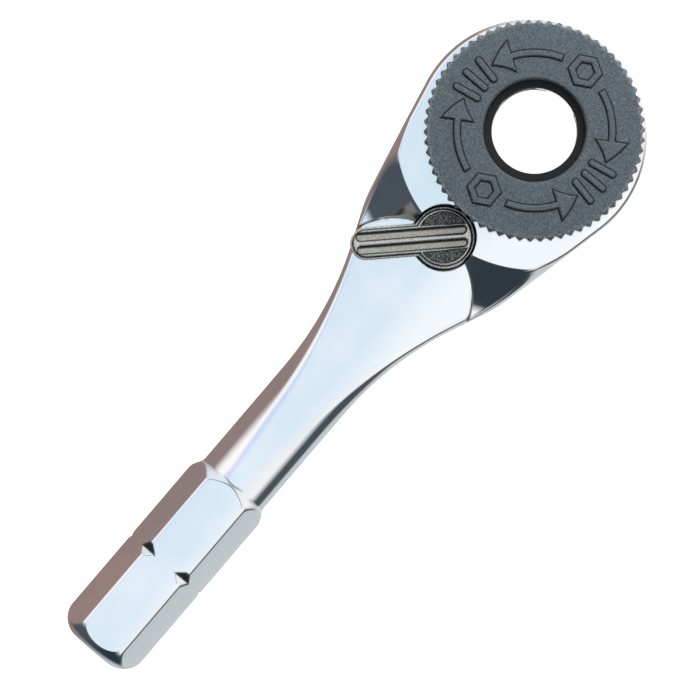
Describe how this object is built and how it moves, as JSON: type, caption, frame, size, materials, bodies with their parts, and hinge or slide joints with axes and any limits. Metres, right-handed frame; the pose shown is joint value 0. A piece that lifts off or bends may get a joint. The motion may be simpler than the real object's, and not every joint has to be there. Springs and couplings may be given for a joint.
{
  "type": "mini ratchet wrench",
  "caption": "Reversible mini ratchet: knurled thumb wheel over a hex bit socket, a small lever that sets the ratchet's direction, and a flared handle that ends in a hex shank.",
  "frame": {"origin": "on the drive axis, in the plane of the head's back face, at the mouth of the bit socket", "axes": "+Z out through the thumb wheel, -X along the handle to the hex shank, +Y across the handle"},
  "size_m": [0.0588, 0.0174, 0.0119],
  "materials": {
    "polished_body": "polished satin chrome plate on forged steel",
    "black_wheel": "matt black phosphate on cast steel",
    "nickel_lever": "nickel plate on a cast lever",
    "gear_steel": "dark hardened steel",
    "bright_steel": "ground bright steel",
    "spring_steel": "oiled spring steel"
  },
  "bodies": {
    "body": {"handle_body": "polished_body", "pawl_pin": "bright_steel"},
    "gear": {"drive_gear": "gear_steel", "thumb_wheel": "black_wheel", "gear_snap_ring": "spring_steel", "bit_retaining_ring": "spring_steel"},
    "lever": {"reversing_lever": "nickel_lever", "lever_clip": "spring_steel", "detent_spring": "spring_steel"},
    "pawl": {"pawl": "gear_steel"},
    "ball": {"detent_ball": "bright_steel"}
  },
  "joints": [
    {"name": "gear_spin", "type": "hinge", "parent": "body", "child": "gear", "pos_m": [0, 0, 0], "axis": [0, 0, 1], "continuous": true},
    {"name": "lever_swing", "type": "hinge", "parent": "body", "child": "lever", "pos_m": [-0.01035, 0, 0.0045], "axis": [0, 0, 1], "range_deg": [0, 90]},
    {"name": "pawl_rock", "type": "hinge", "parent": "body", "child": "pawl", "pos_m": [-0.0075, 0, 0.0045], "axis": [0, 0, 1], "range_deg": [-10, 0]},
    {"name": "ball_slide", "type": "slide", "parent": "lever", "child": "ball", "axis": [-0.7071, 0.7071, 0], "range_m": [0, 0.00025], "stiffness_N_per_m": 300, "springref_m": -0.0005, "deforming": ["detent_spring"]}
  ],
  "couplings": [
    {"joint": "pawl_rock", "follows": "lever_swing", "ratio": -0.1111}
  ]
}
